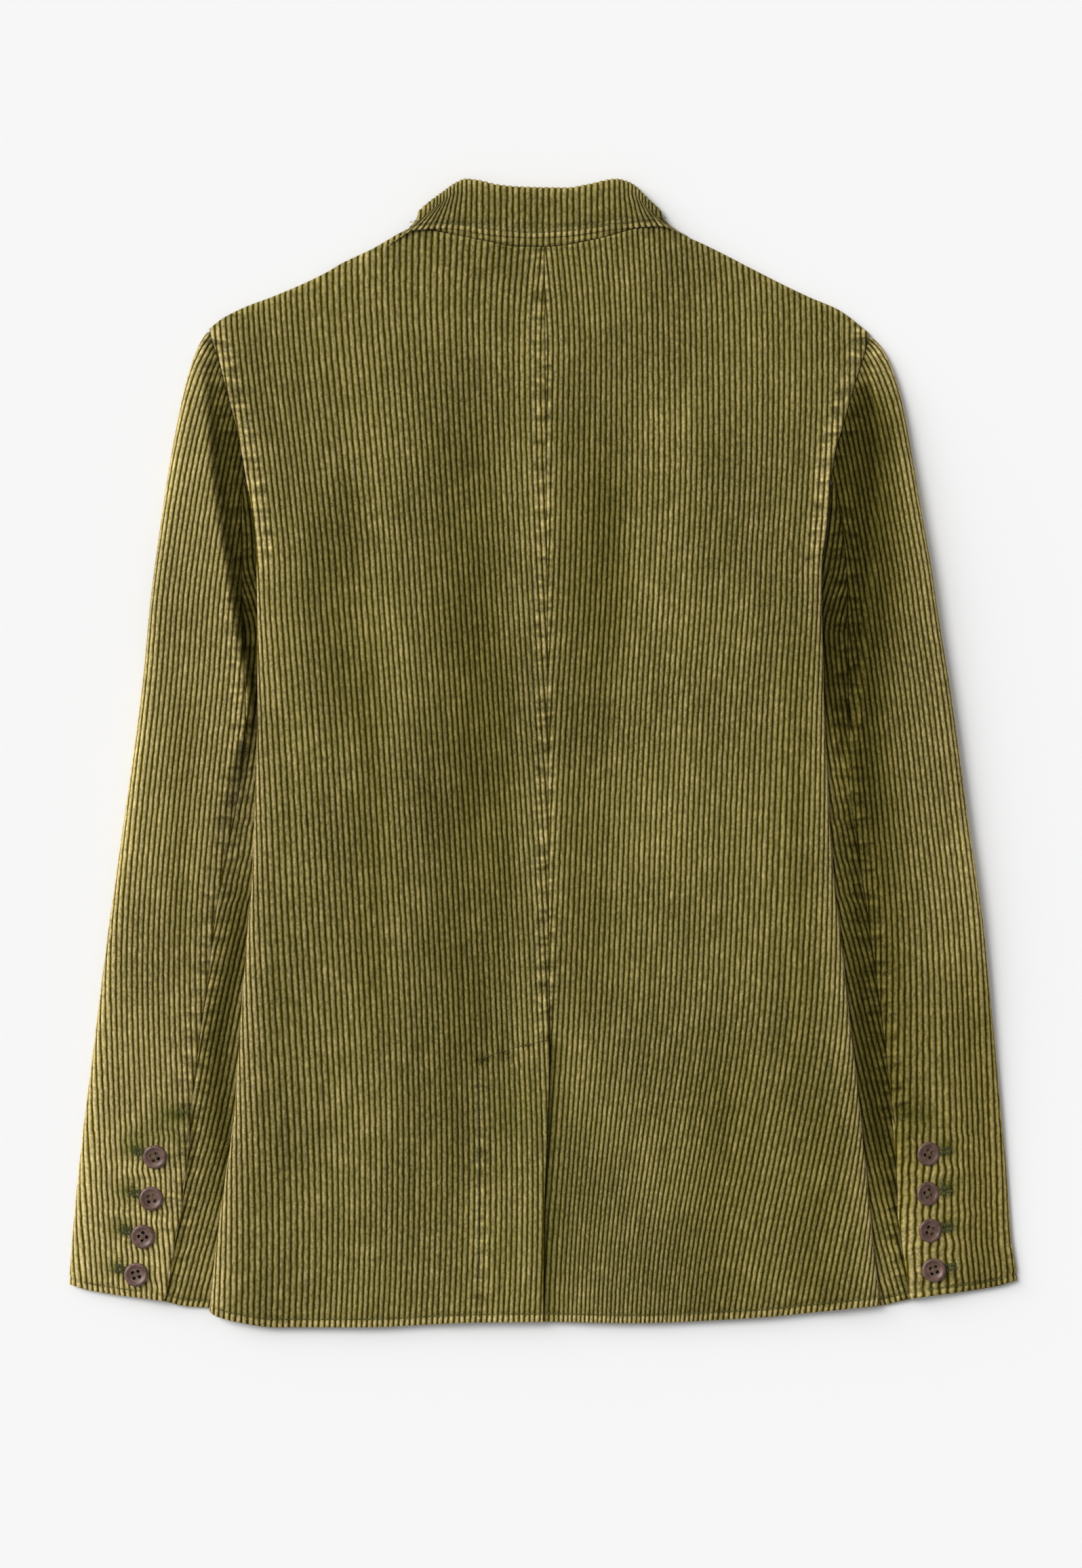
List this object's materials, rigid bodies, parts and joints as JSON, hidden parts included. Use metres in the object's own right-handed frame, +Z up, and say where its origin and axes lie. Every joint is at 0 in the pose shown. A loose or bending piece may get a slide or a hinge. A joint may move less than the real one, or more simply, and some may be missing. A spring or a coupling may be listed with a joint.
{
  "type": "corduroy jacket laid flat",
  "caption": "Wide-wale corduroy blazer laid flat with its back up: centre-back seam, hem vent, turned-down collar and buttoned cuffs.",
  "frame": {"origin": "middle of the footprint's box, on the surface that the jacket lies on", "axes": "+Y from the hem to the collar, +X to the right of somebody who looks down on the back, +Z up off the surface"},
  "size_m": [0.637, 0.7706, 0.0108],
  "materials": {
    "corduroy": "matte",
    "button": "satin"
  },
  "bodies": {
    "root": {"back_left": "corduroy", "back_right": "corduroy", "collar_fall": "corduroy", "collar_stand": "corduroy", "front_left": "corduroy", "front_right": "corduroy", "lapel_left": "corduroy", "lapel_right": "corduroy", "sleeve_top_left": "corduroy", "sleeve_top_right": "corduroy", "sleeve_under_left": "corduroy", "sleeve_under_right": "corduroy", "cuff_button_left_1": "button", "cuff_button_left_2": "button", "cuff_button_left_3": "button", "cuff_button_left_4": "button", "cuff_button_right_1": "button", "cuff_button_right_2": "button", "cuff_button_right_3": "button", "cuff_button_right_4": "button"}
  },
  "joints": []
}
